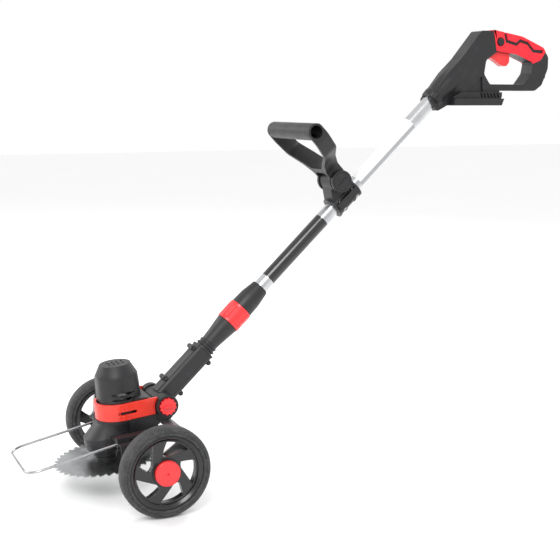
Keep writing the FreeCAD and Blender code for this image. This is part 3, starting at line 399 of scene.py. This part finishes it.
def tyre(side):
    """Tyre with a crowned tread, rounded shoulders, a shoulder groove and a raised bead."""
    node = "tyre_" + side
    low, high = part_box(node)
    centre = (low + high) / 2
    radius = (high.z - low.z) / 2
    half = (high.x - low.x) / 2
    inner = TYRE_BORE
    right = [(inner, half - 2.6 * MM), (inner + 1.6 * MM, half - 0.9 * MM),
             (inner + 4.2 * MM, half - 0.9 * MM), (inner + 5.2 * MM, half - 1.7 * MM),
             (inner + 6.0 * MM, half - 1.7 * MM),
             (inner + 6.9 * MM, half - 0.6 * MM), (radius - 4.6 * MM, half - 1.2 * MM),
             (radius - 2.3 * MM, half - 3.0 * MM), (radius - 0.9 * MM, half - 5.6 * MM),
             (radius - 1.1 * MM, half - 6.6 * MM), (radius - 0.4 * MM, half - 7.6 * MM)]
    profile = right + [(radius, 0.0)] + [(r, -x) for r, x in reversed(right)]
    mesh = outward(lathe(profile, centre, TYRE_SEGMENTS))
    mesh.name = node + "_tread"
    obj = piece_from(node + "_tread", mesh, nodes[node]["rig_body"], slot_of[node])
    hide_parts(node)


def wire_loop():
    """Bent wire ahead of the blade, swept as one smooth round bar with flat end caps."""
    node = "wire_guard"
    low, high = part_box(node)
    radius = WIRE_RADIUS
    turn = WIRE_TURN
    half = high.x - radius
    pitch = WIRE_PITCH
    forward = Vector((0, -math.cos(pitch), -math.sin(pitch)))
    side = Vector((1, 0, 0))
    front = Vector((0, low.y + radius, low.z + radius * math.cos(pitch)))
    length = (high.y - low.y - 2 * radius) / math.cos(pitch)
    corner = front - forward * turn
    line = [side * half + front - forward * (length - k * (length - turn) / STRAIGHT_STEPS)
            for k in range(STRAIGHT_STEPS)]
    for k in range(CORNER_STEPS + 1):
        angle = math.radians(90 * k / CORNER_STEPS)
        across = half - turn + turn * math.cos(angle)
        line.append(corner + side * across + forward * turn * math.sin(angle))
    line += [Vector((-p.x, p.y, p.z)) for p in reversed(line)]
    ring = WIRE_SIDES
    points = []
    faces = []
    for i, place in enumerate(line):
        ahead = line[min(i + 1, len(line) - 1)] - line[max(i - 1, 0)]
        across = ahead.normalized().cross(side.cross(forward)).normalized()
        up = across.cross(ahead.normalized())
        for k in range(ring):
            angle = 2 * math.pi * k / ring
            points.append(place + radius * (math.cos(angle) * across + math.sin(angle) * up))
    for i in range(len(line) - 1):
        for k in range(ring):
            j = (k + 1) % ring
            faces.append((i * ring + k, i * ring + j, (i + 1) * ring + j, (i + 1) * ring + k))
    faces.append(tuple(range(ring)))
    faces.append(tuple(reversed(range((len(line) - 1) * ring, len(line) * ring))))
    mesh = bpy.data.meshes.new("wire_loop")
    mesh.from_pydata(points, [], faces)
    obj = piece_from("wire_loop", outward(mesh), nodes[node]["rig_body"], slot_of[node])
    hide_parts(node)


def finish_nodes():
    for name in sorted(nodes):
        dress(nodes[name], slot_of[name])
    for node in sorted(ROUNDED):
        rounded(node, ROUNDED[node] * MM)


finish_nodes()
tyre("left")
tyre("right")
wire_loop()


# ---------- floor, light and camera ----------

def floor():
    bm = bmesh.new()
    bmesh.ops.create_grid(bm, x_segments=2, y_segments=2, size=12)
    mesh = bpy.data.meshes.new("floor")
    bm.to_mesh(mesh)
    bm.free()
    obj = bpy.data.objects.new("floor", mesh)
    bpy.context.scene.collection.objects.link(obj)
    g = Graph("floor")
    g.colour(g.mix(g.noise(2.0, 3.0), (0.92, 0.92, 0.92), (0.95, 0.95, 0.95)))
    g.set(Roughness=0.55)
    mesh.materials.append(g.material)


def area_light(name, place, target, size, power):
    data = bpy.data.lights.new(name, "AREA")
    data.shape = "RECTANGLE"
    data.size = size[0]
    data.size_y = size[1]
    data.energy = power
    obj = bpy.data.objects.new(name, data)
    obj.location = place
    obj.rotation_mode = "QUATERNION"
    obj.rotation_quaternion = (Vector(target) - Vector(place)).to_track_quat("-Z", "Y")
    bpy.context.scene.collection.objects.link(obj)


def lights():
    world = bpy.data.worlds.new("studio")
    world.use_nodes = True
    background = world.node_tree.nodes["Background"]
    background.inputs["Color"].default_value = (1, 1, 1, 1)
    background.inputs["Strength"].default_value = 1.0
    bpy.context.scene.world = world
    area_light("key", (2.2, -1.6, 2.6), LIGHT_TARGET, (1.6, 1.6), 60)
    area_light("fill", (-1.8, -2.2, 1.6), LIGHT_TARGET, (1.8, 1.4), 30)
    area_light("rim", (-1.6, 2.2, 2.2), LIGHT_TARGET, (1.6, 1.0), 45)


def camera():
    pitch = CAMERA_PITCH
    swing = CAMERA_SWING
    forward = Vector((-math.cos(pitch) * math.cos(swing),
                      math.cos(pitch) * math.sin(swing),
                      -math.sin(pitch)))
    data = bpy.data.cameras.new("camera")
    data.sensor_width = 36.0
    data.lens = 68.66
    data.clip_start = 0.05
    obj = bpy.data.objects.new("camera", data)
    obj.location = CAMERA_PLACE
    obj.rotation_mode = "QUATERNION"
    obj.rotation_quaternion = forward.to_track_quat("-Z", "Y")
    bpy.context.scene.collection.objects.link(obj)
    bpy.context.scene.camera = obj


floor()
lights()
camera()
bpy.context.scene.view_settings.view_transform = "Standard"
